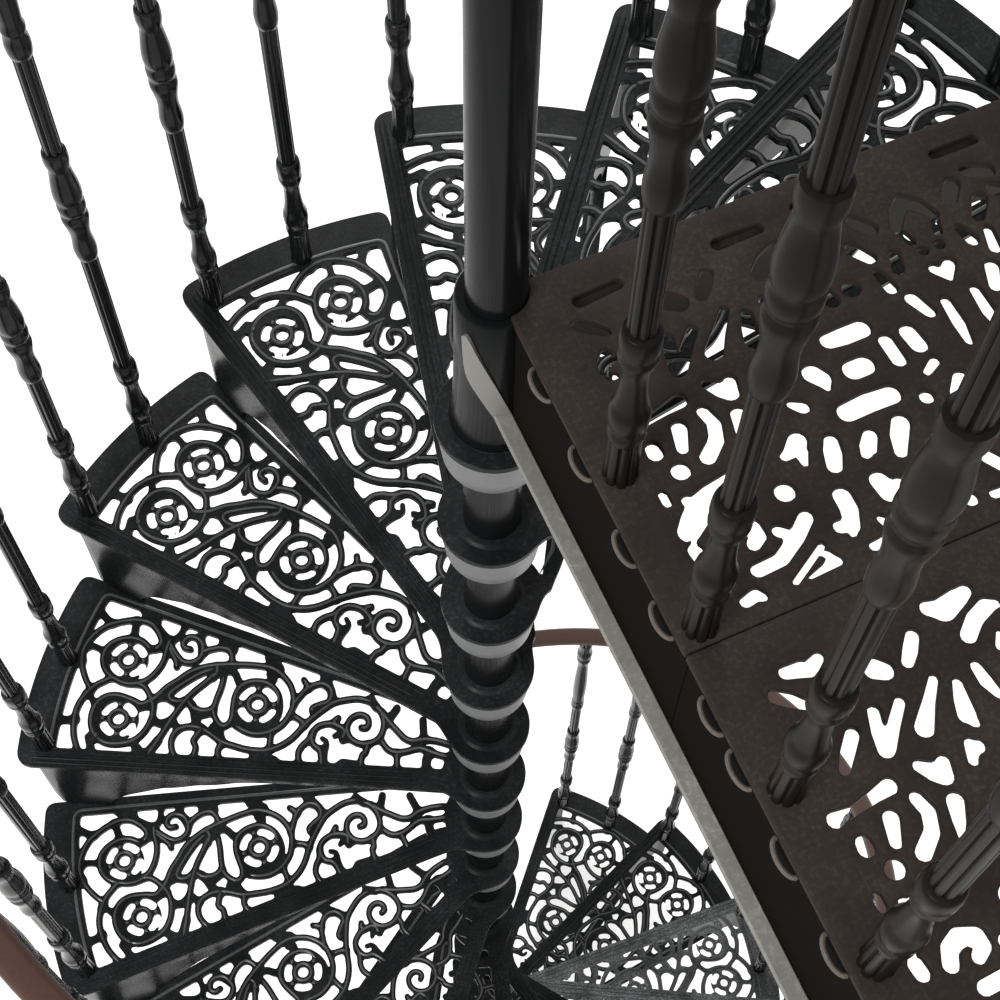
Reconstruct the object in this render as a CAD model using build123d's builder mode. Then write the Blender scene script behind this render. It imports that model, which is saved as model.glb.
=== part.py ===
from build123d import *
from math import cos, degrees, radians, sin, sqrt
import os

os.makedirs("parts", exist_ok=True)

# Driving dimensions, in millimetres and degrees.
# The pole's axis is the Z axis and the floor is Z = 0. The landing's stepping edge runs along +X
# and its open side along -Y, so the stair climbs clockwise, seen from above.
riser = 195.0
tread_count = 16
step_angle = 25.45
stair_radius = 588.0

pole_radius = 23.0
pole_wall = 4.0
pole_clearance = 0.3
sleeve_radius = 26.0

hub_radius = 49.0
hub_height = 50.0
hub_boss_radius = 32.0
hub_boss_height = 3.0
bell_top_radius = 41.0
bell_foot_radius = 31.0

plate_thickness = 7.0
nosing_front = 25.0
front_bar = 26.5
rim_bar = 47.0
back_bar = 22.0
back_edge_depth = 73.0
hub_back_angle = 128.7
hub_back_inset = 2.0
front_corner_radius = 21.0
back_corner_radius = 14.0
hub_corner_radius = 10.0
hub_flare_radius = 60.0

scroll_width = 8.4
web_width = 10.0
rosette_eye_radius = 7.3
petal_width = 9.0
petal_spread = 40.0
petal_start = 45.0
petals = 4

apron_thickness = 6.0
apron_front = 21.0
apron_inner = 42.0
apron_outer = 576.0
apron_foot_length = 73.0
apron_shallow_depth = 47.0
apron_shallow_end = 270.0
apron_bend_depth = 96.0
apron_bend = 405.0
apron_knee_depth = 162.0
apron_knee = 488.0

baluster_inset = 33.0
front_baluster_angle = 0.6
back_baluster_angle = 12.5
baluster_foot_radius = 12.0
baluster_foot_height = 60.0
baluster_ring_radius = 14.2
baluster_neck_radius = 9.1
baluster_shaft_radius = 9.7
baluster_head_radius = 11.4
foot_ornament_height = 197.0
vase_below_rail = 702.0
vase_height = 187.0
head_below_rail = 367.0
head_height = 315.0

rail_height = 1057.0
rail_width = 32.0
rail_thickness = 22.0
rail_edge_radius = 8.0
rail_segments = 5
seat_clearance = 0.3

flange_radius = 110.0
flange_thickness = 14.0
flange_bolt_circle = 85.0
flange_bolt_hole = 7.0
flange_bolts = 4

landing_width = 606.0
landing_panel_length = 303.0
landing_panels = 2
collar_top_radius = 34.5
collar_foot_radius = 41.0
fascia_depth = 132.0
fascia_thickness = 7.0
fascia_flange = 12.5
front_ledge = 42.0
landing_baluster_inset = 18.0
landing_baluster_first = 166.0
landing_baluster_spacing = 122.0
landing_balusters_count = 4

cap_radius = 30.0

# Worked-out sizes.
landing_level = tread_count + 1
landing_height = landing_level * riser
landing_length = landing_panels * landing_panel_length
pole_top = landing_height + rail_height
bore_radius = pole_radius + pole_clearance
baluster_circle_radius = stair_radius - baluster_inset
rail_underside_height = rail_height - rail_thickness
rail_rise_per_degree = riser / step_angle
rail_slope = rail_rise_per_degree * degrees(1) / baluster_circle_radius
rail_half_drop = rail_thickness / 2 * sqrt(1 + rail_slope**2)


def step_angle_at(level):
    """Azimuth of the nosing line of a tread, counted up from the floor."""
    return (landing_level - level) * step_angle


def step_plane(level):
    """Plane of a tread's top face, with its X along the nosing line and its Y down the stair."""
    turn = radians(step_angle_at(level))
    return Plane(origin=(0, 0, level * riser), x_dir=(cos(turn), sin(turn), 0), z_dir=(0, 0, 1))


def write(part, name):
    part.label = name
    export_step(part, f"parts/{name}.step")


# Floor flange: the cast foot that the pole stands in, bolted to the floor.
with BuildPart() as floor_flange:
    with BuildSketch():
        Circle(flange_radius)
        Circle(bore_radius, mode=Mode.SUBTRACT)
        with PolarLocations(flange_bolt_circle, flange_bolts, start_angle=45):
            Circle(flange_bolt_hole, mode=Mode.SUBTRACT)
    extrude(amount=flange_thickness)
    with BuildSketch(Plane.XY.offset(flange_thickness)):
        Circle(hub_radius)
        Circle(bore_radius, mode=Mode.SUBTRACT)
    extrude(amount=hub_height)
write(floor_flange.part, "floor_flange")

# Centre pole: one tube from the floor to the height of the landing's handrail.
with BuildPart() as centre_pole:
    with BuildSketch():
        Circle(pole_radius)
        Circle(pole_radius - pole_wall, mode=Mode.SUBTRACT)
    extrude(amount=pole_top)
write(centre_pole.part, "centre_pole")

# Sleeves: the spacers between the hubs of the treads, slid over the pole one by one.
with BuildPart() as sleeves:
    for level in range(1, landing_level):
        low = (level - 1) * riser + hub_boss_height
        if level == 1:
            low = flange_thickness + hub_height
        high = level * riser - hub_height
        with BuildSketch(Plane.XY.offset(low)):
            Circle(sleeve_radius)
            Circle(bore_radius, mode=Mode.SUBTRACT)
        extrude(amount=high - low)
write(sleeves.part, "spacer_sleeves")

# Tread casting: hub, pierced plate and apron, all cast in one piece. The plan is drawn with X along
# the nosing line and Y down the stair. The back edge is a straight line that reaches the rim under
# the middle of the next tread's apron, which stands on it.
apron_seat = apron_front - apron_thickness / 2
seat_reach = sqrt(stair_radius**2 - apron_seat**2)
turn_back = radians(step_angle)
back_corner = (
    seat_reach * cos(turn_back) + apron_seat * sin(turn_back),
    -seat_reach * sin(turn_back) + apron_seat * cos(turn_back),
)
back_slope = -(back_corner[1] + back_edge_depth) / back_corner[0]


def back_line(x, inset=0.0):
    """Y of the back edge, or of a line as far before it as the inset, at a distance along the nosing."""
    return inset - back_edge_depth - back_slope * x


hub_back = (-cos(radians(180 - hub_back_angle)), -sin(radians(180 - hub_back_angle)))
hub_line_distance = hub_radius - hub_back_inset
hub_corner_x = (hub_line_distance + hub_back[1] * back_edge_depth) / (hub_back[0] - hub_back[1] * back_slope)
hub_corner = (hub_corner_x, back_line(hub_corner_x))
front_corner = (sqrt(stair_radius**2 - nosing_front**2), nosing_front)
hub_front = (sqrt(hub_radius**2 - nosing_front**2), nosing_front)
plan_reach = stair_radius * 1.1

# Scrolls, each a bar on a smooth curve through points given along the nosing from the pole's axis and
# back from the nosing line.
scrolls = {
    "great wave": [
        (319, -43), (294, -34), (261, -48), (249, -79), (265, -112), (300, -125), (348, -123), (398, -100),
        (442, -66), (473, -75), (498, -62), (492, -18), (446, -16), (426, -60), (452, -93),
    ],
    "high wave": [(145, -84), (182, -86), (210, -72), (241, -38), (280, -13), (319, -17), (361, -37)],
    "rim wave": [(415, -154), (427, -110), (456, -91), (492, -93), (521, -58), (521, -20), (513, 2)],
    "rim shell": [(507, -80), (524, -116), (513, -155), (479, -175), (443, -174), (426, -150)],
    "long stem": [(425, 2), (402, -45), (377, -85), (352, -114)],
    "leaf": [(341, -112), (347, -77), (361, -60), (380, -74)],
    "inner curl": [(175, -37), (178, -55), (163, -67), (152, -54), (165, -30)],
    "inner curl back": [(165, -30), (140, -35), (134, -58), (145, -84)],
    "low curl": [(245, -84), (225, -103), (205, -100), (206, -82)],
    "upper frond": [(40, -14), (86, -27), (115, -20), (135, -38)],
    "lower frond": [(38, -28), (81, -39), (105, -39), (137, -72)],
}
webs = [
    [(274, 2), (274, -37)], [(160, 2), (158, -30)], [(462, 2), (462, -14)], [(280, -116), (284, -150)],
    [(525, -120), (548, -118)], [(462, -175), (462, -205)], [(372, -112), (376, -178)], [(205, -98), (210, -126)],
    [(145, -82), (152, -108)], [(368, 2), (362, -38)], [(184, -34), (213, -50)], [(213, -50), (207, 2)],
]
rosettes = [
    {"eye": (467.5, -43.7), "disc": (470.5, -43.7), "radius": 30.0, "petal circle": 18.5},
    {"eye": (465.4, -123.3), "disc": (469.4, -123.3), "radius": 28.5, "petal circle": 19.0},
    {"eye": (294.8, -73.1), "disc": (293.8, -69.1), "radius": 32.0, "petal circle": 20.0},
]

# The field between hub, rim, nosing and back bar is open, and the scrolls cross it.
with BuildSketch(Plane.XY.offset(-plate_thickness)) as field:
    with BuildLine():
        Polyline(
            (0, nosing_front - front_bar),
            (plan_reach, nosing_front - front_bar),
            (plan_reach, back_line(plan_reach, back_bar)),
            (0, back_line(0, back_bar)),
            close=True,
        )
    make_face()
    Circle(stair_radius - rim_bar, mode=Mode.INTERSECT)
    Circle(hub_radius, mode=Mode.SUBTRACT)
    for scroll in scrolls.values():
        with BuildLine():
            Spline(*scroll)
        trace(line_width=scroll_width, mode=Mode.SUBTRACT)
    for web in webs:
        with BuildLine():
            Line(*web)
        trace(line_width=web_width, mode=Mode.SUBTRACT)
    for rosette in rosettes:
        with Locations(rosette["disc"]):
            Circle(rosette["radius"], mode=Mode.SUBTRACT)
    for rosette in rosettes:
        with Locations(rosette["eye"]):
            Circle(rosette_eye_radius)
            for petal in range(petals):
                turn = petal_start + petal * 360 / petals - petal_spread / 2
                SlotArc(CenterArc((0, 0), rosette["petal circle"], turn, petal_spread), petal_width)

with BuildPart() as tread_casting:
    with BuildSketch(Plane.XY.offset(-plate_thickness)) as plan:
        with BuildLine():
            Polyline(
                (0, nosing_front),
                (plan_reach, nosing_front),
                (plan_reach, back_line(plan_reach)),
                hub_corner,
                (hub_back[0] * hub_line_distance, hub_back[1] * hub_line_distance),
                close=True,
            )
        make_face()
        Circle(stair_radius, mode=Mode.INTERSECT)
        Circle(hub_radius)
        for place, radius in (
            (front_corner, front_corner_radius),
            (back_corner, back_corner_radius),
            (hub_corner, hub_corner_radius),
            (hub_front, hub_flare_radius),
        ):
            fillet(plan.vertices().sort_by_distance(place)[0], radius)
        add(field.sketch, mode=Mode.SUBTRACT)
    extrude(amount=plate_thickness)
    # The hub: a low boss on top, and a bell below the plate that stands on the next sleeve.
    with BuildSketch(Plane.XZ):
        with BuildLine():
            Polyline(
                (bore_radius, hub_boss_height),
                (hub_boss_radius, hub_boss_height),
                (hub_boss_radius, 0),
                (hub_radius, 0),
                (hub_radius, -plate_thickness),
                (bell_top_radius, -plate_thickness - 1),
                (bell_foot_radius, -hub_height),
                (bore_radius, -hub_height),
                close=True,
            )
        make_face()
    revolve(axis=Axis.Z)
    with BuildSketch(Plane.XY.offset(-plate_thickness)):
        Circle(bore_radius)
    extrude(amount=plate_thickness, mode=Mode.SUBTRACT)
    # The apron hangs under the nosing, deeper outwards, and stands on the tread below near the rim.
    with BuildSketch(Plane.XZ.offset(-apron_front)):
        with BuildLine():
            top = -plate_thickness / 2
            Polyline(
                (apron_inner, -apron_shallow_depth),
                (apron_inner, top),
                (apron_outer, top),
                (apron_outer, -riser),
                (apron_outer - apron_foot_length, -riser),
                (apron_knee, -apron_knee_depth),
            )
            Spline(
                (apron_knee, -apron_knee_depth),
                (apron_bend, -apron_bend_depth),
                (apron_shallow_end, -apron_shallow_depth),
                tangents=[(-1, 1.1), (-1, 0)],
            )
            Line((apron_shallow_end, -apron_shallow_depth), (apron_inner, -apron_shallow_depth))
        make_face()
    extrude(amount=apron_thickness)

for level in range(1, tread_count + 1):
    with BuildPart() as tread:
        with Locations(step_plane(level).location):
            add(tread_casting.part)
    write(tread.part, f"tread_{level:02d}")

# Balusters: turned castings, two on the rim of each tread. A foot with two rings, a neck and a cup,
# then a bar, a vase, a second bar, and a long head with two rings under the rail.


def bulge(low, high, radius):
    """Arc of a turned ring between two points of the outline, standing out to a radius halfway."""
    ThreePointArc(low, (radius, (low[1] + high[1]) / 2), high)


def baluster(height, slope):
    """One baluster whose top is cut to a rail that falls along +Y by the slope."""
    ring, shaft, head = baluster_ring_radius, baluster_shaft_radius, baluster_head_radius
    foot, groove = baluster_foot_radius, baluster_foot_radius + 0.2
    vase, crown = height - vase_below_rail, height - head_below_rail
    spare_height = height + head * slope
    with BuildPart(mode=Mode.PRIVATE) as turned:
        with BuildSketch(Plane.XZ):
            with BuildLine():
                Polyline((0, 0), (foot, 0), (foot, baluster_foot_height))
                bulge((foot, baluster_foot_height), (groove, 73), ring - 0.9)
                bulge((groove, 73), (foot, 102), ring)
                Spline((foot, 102), (baluster_neck_radius, 138), (head, 158))
                bulge((head, 158), (groove, 173), ring - 0.9)
                bulge((groove, 173), (groove, foot_ornament_height), ring - 0.4)
                Polyline((groove, foot_ornament_height), (shaft, foot_ornament_height), (shaft, vase))
                Spline((shaft, vase), (groove, vase + 16), (shaft + 1, vase + 42), (ring, vase + 73), (groove, vase + 84))
                bulge((groove, vase + 84), (groove, vase + 106), ring + 0.6)
                Spline((groove, vase + 106), (ring + 0.8, vase + 119), (groove, vase + 149), (head, vase + 163))
                bulge((head, vase + 163), (head, vase + vase_height), ring - 1.2)
                Polyline((head, vase + vase_height), (shaft, vase + vase_height), (shaft, crown))
                Spline((shaft, crown), (groove, crown + 16), (shaft + 0.6, crown + 33))
                bulge((shaft + 0.6, crown + 33), (shaft + 0.9, crown + 47), groove)
                Spline((shaft + 0.9, crown + 47), (groove + 0.4, crown + 115), (shaft, crown + 245))
                Line((shaft, crown + 245), (head, crown + 258))
                bulge((head, crown + 258), (foot, crown + 283), ring - 0.7)
                bulge((foot, crown + 283), (head, crown + head_height), ring + 0.4)
                Polyline((head, crown + head_height), (head, spare_height), (0, spare_height), (0, 0))
            make_face()
        revolve(axis=Axis.Z)
        split(bisect_by=Plane(origin=(0, 0, height), z_dir=(0, slope, 1)), keep=Keep.BOTTOM)
    return turned.part


def baluster_height(angle_back):
    """Height of the rail's underside over a tread, at an angle behind its nosing line."""
    return rail_underside_height + angle_back * rail_rise_per_degree - seat_clearance


front_baluster = baluster(baluster_height(front_baluster_angle), rail_slope)
back_baluster = baluster(baluster_height(back_baluster_angle), rail_slope)

for group in range(tread_count // 2):
    with BuildPart() as balusters:
        for level in (2 * group + 1, 2 * group + 2):
            with Locations(step_plane(level).location):
                with PolarLocations(baluster_circle_radius, 1, start_angle=-front_baluster_angle):
                    add(front_baluster)
                with PolarLocations(baluster_circle_radius, 1, start_angle=-back_baluster_angle):
                    add(back_baluster)
    write(balusters.part, f"balusters_{group + 1:02d}")

# Handrail: a flat moulded rail that follows the helix over the balusters, in equal lengths.
rail_start = step_angle_at(1) + front_baluster_angle
segment_angle = rail_start / rail_segments

with BuildPart() as rail_length:
    with BuildLine() as path:
        Helix(
            360 * rail_rise_per_degree,
            segment_angle * rail_rise_per_degree,
            baluster_circle_radius,
            lefthand=True,
        )
    with BuildSketch(Plane(origin=path.line @ 0, x_dir=(1, 0, 0), z_dir=path.line % 0)):
        RectangleRounded(rail_width, rail_thickness, rail_edge_radius)
    sweep(path=path.line, is_frenet=True)

for segment in range(rail_segments):
    azimuth = rail_start - segment * segment_angle
    turn = radians(azimuth)
    base = landing_height + rail_underside_height - azimuth * rail_rise_per_degree + rail_half_drop
    start = Plane(origin=(0, 0, base), x_dir=(cos(turn), sin(turn), 0), z_dir=(0, 0, 1))
    with BuildPart() as handrail:
        with Locations(start.location):
            add(rail_length.part)
    write(handrail.part, f"handrail_{segment + 1}")

# Landing collar: a cone on the hub of the top tread that carries the landing's corner.
collar_low = tread_count * riser + hub_boss_height
with BuildPart() as landing_collar:
    with BuildSketch(Plane.XZ):
        with BuildLine():
            Polyline(
                (bore_radius, collar_low),
                (collar_foot_radius, collar_low),
                (collar_top_radius, landing_height),
                (bore_radius, landing_height),
                close=True,
            )
        make_face()
    revolve(axis=Axis.Z)
write(landing_collar.part, "landing_collar")

# Landing panels: two like castings, pierced on both sides of the middle in the same pattern. Each
# opening is a slot, given by its place from the panel's front left corner, length, width and turn.
panel_slots = [
    (66, -38, 36, 11, 0), (178, -38, 40, 14, 0), (48, -56, 24, 10, -35), (48, -84, 22, 9, 60),
    (112, -59, 20, 16, 0), (138, -56, 24, 10, 60), (192, -54, 36, 12, 25), (247, -48, 30, 12, 20),
    (67, -102, 32, 10, 55), (92, -98, 32, 9, 80), (130, -93, 40, 11, 55), (152, -104, 34, 12, 80),
    (174, -95, 28, 10, 100), (216, -96, 26, 12, 75), (257, -104, 30, 10, 80), (60, -134, 46, 8, 5),
    (114, -136, 24, 17, -40), (139, -133, 20, 11, 60), (212, -131, 40, 16, 0), (47, -160, 14, 12, 90),
    (69, -157, 20, 12, 80), (94, -157, 30, 11, 80), (112, -168, 26, 10, 65), (155, -169, 14, 10, -20),
    (178, -155, 24, 15, 80), (208, -158, 26, 18, 0), (245, -156, 30, 14, 85), (290, -156, 42, 11, 88),
    (57, -181, 15, 14, 0), (52, -215, 40, 18, 55), (141, -200, 30, 14, 75), (201, -187, 50, 17, 0),
    (160, -211, 32, 13, 70), (185, -215, 24, 12, 60), (209, -218, 34, 13, 65), (246, -212, 34, 12, 70),
    (73, -238, 34, 12, 5), (115, -224, 16, 15, 0), (100, -258, 52, 10, 35), (149, -252, 38, 14, 80),
    (184, -252, 34, 17, -60), (226, -250, 30, 13, 65), (264, -236, 34, 12, 100), (60, -281, 24, 9, 0),
    (114, -281, 34, 9, 8), (162, -280, 28, 9, 20), (222, -281, 26, 9, 0), (278, -274, 30, 11, 60),
]
for number in range(landing_panels):
    near = -number * landing_panel_length
    with BuildPart() as panel:
        with BuildSketch(Plane.XY.offset(landing_height - plate_thickness)) as sheet:
            with Locations((0, near)):
                Rectangle(landing_width, landing_panel_length, align=(Align.MIN, Align.MAX))
            Circle(collar_top_radius + pole_clearance, mode=Mode.SUBTRACT)
            for x, y, length, width, turned in panel_slots:
                with Locations((x, near + y)):
                    SlotOverall(max(length, width + 0.5), width, rotation=turned, mode=Mode.SUBTRACT)
                with Locations((landing_width - x, near + y)):
                    SlotOverall(max(length, width + 0.5), width, rotation=180 - turned, mode=Mode.SUBTRACT)
        extrude(amount=plate_thickness)
    write(panel.part, f"landing_panel_{number + 1}")

# Landing fascias and bearers: upright plates under the panels' edges. The open side's fascia has a
# flange along its foot, and the stepping edge's has a ledge that closes the panel's front bar.
fascia_top = landing_height - plate_thickness
collar_clear = collar_foot_radius + pole_clearance
with BuildPart() as side_fascia:
    with BuildSketch(Plane.XZ.offset(collar_clear)):
        with BuildLine():
            Polyline(
                (0, fascia_top),
                (fascia_thickness, fascia_top),
                (fascia_thickness, fascia_top - fascia_depth),
                (-fascia_flange, fascia_top - fascia_depth),
                (-fascia_flange, fascia_top - fascia_depth + fascia_thickness),
                (0, fascia_top - fascia_depth + fascia_thickness),
                close=True,
            )
        make_face()
    extrude(amount=landing_length - collar_clear)
write(side_fascia.part, "landing_side_fascia")

with BuildPart() as front_fascia:
    with BuildSketch(Plane.YZ.offset(collar_clear)):
        with BuildLine():
            Polyline(
                (0, fascia_top),
                (-front_ledge, fascia_top),
                (-front_ledge, fascia_top - fascia_thickness),
                (-fascia_thickness, fascia_top - fascia_thickness),
                (-fascia_thickness, fascia_top - fascia_depth),
                (0, fascia_top - fascia_depth),
                close=True,
            )
        make_face()
    extrude(amount=landing_width - collar_clear)
write(front_fascia.part, "landing_front_fascia")

with BuildPart() as back_bearer:
    with BuildSketch(Plane.XY.offset(fascia_top - fascia_depth)):
        with Locations((fascia_thickness, -landing_length)):
            Rectangle(landing_width - fascia_thickness, fascia_thickness, align=(Align.MIN, Align.MIN))
    extrude(amount=fascia_depth)
write(back_bearer.part, "landing_back_bearer")

with BuildPart() as wall_bearer:
    with BuildSketch(Plane.XY.offset(fascia_top - fascia_depth)):
        with Locations((landing_width, -front_ledge)):
            Rectangle(
                fascia_thickness,
                landing_length - front_ledge - fascia_thickness,
                align=(Align.MAX, Align.MAX),
            )
    extrude(amount=fascia_depth)
write(wall_bearer.part, "landing_wall_bearer")

landing_baluster = baluster(rail_underside_height - seat_clearance, 0)
with BuildPart() as landing_balusters:
    for number in range(landing_balusters_count):
        along = landing_baluster_first + number * landing_baluster_spacing
        with Locations((landing_baluster_inset, -along, landing_height)):
            add(landing_baluster)
write(landing_balusters.part, "landing_balusters")

with BuildPart() as landing_rail:
    with BuildSketch(Plane.XZ.offset(pole_radius + pole_clearance)):
        with Locations((landing_baluster_inset, pole_top - rail_thickness / 2)):
            RectangleRounded(rail_width, rail_thickness, rail_edge_radius)
    extrude(amount=landing_length - pole_radius - pole_clearance)
write(landing_rail.part, "landing_handrail")

with BuildPart() as pole_cap:
    with BuildSketch(Plane.XZ):
        with BuildLine():
            Line((0, pole_top), (cap_radius, pole_top))
            ThreePointArc(
                (cap_radius, pole_top),
                (cap_radius / sqrt(2), pole_top + cap_radius / sqrt(2)),
                (0, pole_top + cap_radius),
            )
            Line((0, pole_top + cap_radius), (0, pole_top))
        make_face()
    revolve(axis=Axis.Z)
write(pole_cap.part, "pole_cap")
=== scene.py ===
from math import cos, hypot, pi, radians, sin, tau

import bpy
import numpy as np
from mathutils import Matrix, Vector
from mathutils.geometry import delaunay_2d_cdt


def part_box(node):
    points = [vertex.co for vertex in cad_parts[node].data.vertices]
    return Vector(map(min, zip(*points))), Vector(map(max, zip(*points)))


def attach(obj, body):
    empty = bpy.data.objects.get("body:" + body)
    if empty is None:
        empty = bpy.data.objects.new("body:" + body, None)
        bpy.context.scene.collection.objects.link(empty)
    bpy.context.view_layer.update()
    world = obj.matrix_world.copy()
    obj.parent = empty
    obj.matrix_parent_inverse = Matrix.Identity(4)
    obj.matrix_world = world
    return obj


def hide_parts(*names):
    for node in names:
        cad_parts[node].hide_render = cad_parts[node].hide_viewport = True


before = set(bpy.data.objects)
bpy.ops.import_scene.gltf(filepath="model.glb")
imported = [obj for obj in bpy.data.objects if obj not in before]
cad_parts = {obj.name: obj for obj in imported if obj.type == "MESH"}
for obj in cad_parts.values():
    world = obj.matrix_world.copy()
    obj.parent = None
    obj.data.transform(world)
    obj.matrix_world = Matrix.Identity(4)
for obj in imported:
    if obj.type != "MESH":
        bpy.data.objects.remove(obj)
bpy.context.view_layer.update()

# The camera looks steeply down past the landing's stepping edge, at the pole's left side. Its place
# and turn were worked out from the treads in the photograph, on the stair's own axes.
camera_place = (-0.3106, -0.6599, 4.5375)
camera_heading = 64.26
camera_dip = 65.22
camera_roll = 1.69
camera_data = bpy.data.cameras.new("camera")
camera_data.sensor_width = 36
camera_data.sensor_fit = "HORIZONTAL"
camera_data.lens = 71.43
camera_data.clip_start = 0.02
camera_data.clip_end = 60
camera = bpy.data.objects.new("camera", camera_data)
bpy.context.collection.objects.link(camera)
camera.matrix_world = (
    Matrix.Translation(camera_place)
    @ Matrix.Rotation(radians(camera_heading - 90), 4, "Z")
    @ Matrix.Rotation(radians(90 - camera_dip), 4, "X")
    @ Matrix.Rotation(radians(camera_roll), 4, "Z")
)
bpy.context.scene.camera = camera
bpy.context.scene.view_settings.view_transform = "Standard"


# A studio: a pale plain floor under the stair, a soft sky from all round, and two soft lamps. What looks
# past the stair sees white, and so does the gloss of the paint.
def node_adder(tree):
    """A function that adds a node to a tree. It links its inputs in order to the sources given, and sets
    or links the inputs and settings that are given by name."""
    def node(kind, *sources, **values):
        made = tree.nodes.new(kind)
        for socket, source in zip(made.inputs, sources):
            tree.links.new(source, socket)
        for key, value in values.items():
            if isinstance(value, bpy.types.NodeSocket):
                tree.links.new(value, made.inputs[key])
            elif key in made.inputs:
                made.inputs[key].default_value = value
            else:
                setattr(made, key, value)
        return made

    return node


def node_material(name):
    """An empty material, and the function that adds nodes to it."""
    material = bpy.data.materials.new(name)
    material.use_nodes = True
    material.node_tree.nodes.clear()
    return material, node_adder(material.node_tree)


def seen_white(node, shader, white):
    """A shader mixed with plain white light for what the camera, gloss and glass see directly."""
    path = node("ShaderNodeLightPath").outputs
    gloss = node("ShaderNodeMath", path["Is Glossy Ray"], path["Is Transmission Ray"], operation="MAXIMUM")
    seen = node("ShaderNodeMath", path["Is Camera Ray"], gloss.outputs[0], operation="MAXIMUM")
    return node("ShaderNodeMixShader", seen.outputs[0], shader, white).outputs[0]


sky_strength = 0.75
world = bpy.data.worlds.new("studio_sky")
bpy.context.scene.world = world
world.use_nodes = True
world.node_tree.nodes.clear()
node = node_adder(world.node_tree)
soft_sky = node("ShaderNodeBackground", Color=(1, 1, 1, 1), Strength=sky_strength)
white_sky = node("ShaderNodeBackground", Color=(1, 1, 1, 1), Strength=1.0)
node("ShaderNodeOutputWorld", seen_white(node, soft_sky.outputs[0], white_sky.outputs[0]))

floor_half = 9.0
floor_colour = (0.82, 0.82, 0.8, 1)
floor_glow = 0.5
floor_mesh = bpy.data.meshes.new("floor")
floor_corners = [(-floor_half, -floor_half, 0), (floor_half, -floor_half, 0),
                 (floor_half, floor_half, 0), (-floor_half, floor_half, 0)]
floor_mesh.from_pydata(floor_corners, [], [(0, 1, 2, 3)])
floor = bpy.data.objects.new("floor", floor_mesh)
bpy.context.collection.objects.link(floor)
floor_material, node = node_material("pale_floor")
matte = node("ShaderNodeBsdfDiffuse", Color=floor_colour)
glow = node("ShaderNodeEmission", Color=(1, 1, 1, 1), Strength=floor_glow)
both = node("ShaderNodeAddShader", matte.outputs[0], glow.outputs[0])
node("ShaderNodeOutputMaterial", seen_white(node, matte.outputs[0], both.outputs[0]))
floor_mesh.materials.append(floor_material)

lamps = {
    "left_lamp": ((-3.2, -1.6, 5.2), (0.0, 0.0, 2.4), 1.5, 150),
    "back_lamp": ((1.2, 3.6, 5.6), (0.0, 0.0, 2.6), 1.3, 80),
}
for lamp_name, (lamp_place, lamp_aim, lamp_size, lamp_power) in lamps.items():
    lamp_data = bpy.data.lights.new(lamp_name, "AREA")
    lamp_data.size = lamp_size
    lamp_data.energy = lamp_power
    lamp = bpy.data.objects.new(lamp_name, lamp_data)
    bpy.context.collection.objects.link(lamp)
    lamp.location = lamp_place
    lamp.rotation_euler = (Vector(lamp_aim) - Vector(lamp_place)).to_track_quat("-Z", "Y").to_euler()


# Treads: sixteen like castings in grey iron, painted black. Each is a wedge plate pierced with
# scroll-work, with a raised line along every scroll, a ribbed nosing, a hub threaded on the pole, and
# an apron under the nosing that stands on the tread below. Sizes are in millimetres from here on.
MM = 0.001
tread_count = 16
step_angle = 25.45
landing_level = tread_count + 1
stair_radius = 588.0
riser = (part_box("tread_02")[1].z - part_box("tread_01")[1].z) / MM
landing_height = landing_level * riser
landing_place = (0, 0, landing_height)
plate_thickness = 7.0
hub_radius = 49.0
pole_bore = 23.3
nosing_front = 25.0
rim_line_radius = 548.5
field_outer_radius = 541.0
field_front = -1.5
# The back edge is a straight line, given by its depth at the pole's axis and its slope.
back_edge_depth = 73.0
back_edge_slope = 0.305
back_bar_width = 22.0
hub_ring_width = 6.0
# Beside the hub the wedge ends at a line square to this direction, which lies this far from the axis.
hub_cut_place = hub_radius - 2
hub_cut_direction = (0.625, 0.781)
# Roundings of the wedge's outer corners, of the corner at that line, and of the hollow beside the hub.
front_corner = 22.0
back_corner = 14.0
hub_cut_corner = 10.0
hub_hollow = 24.0

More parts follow.
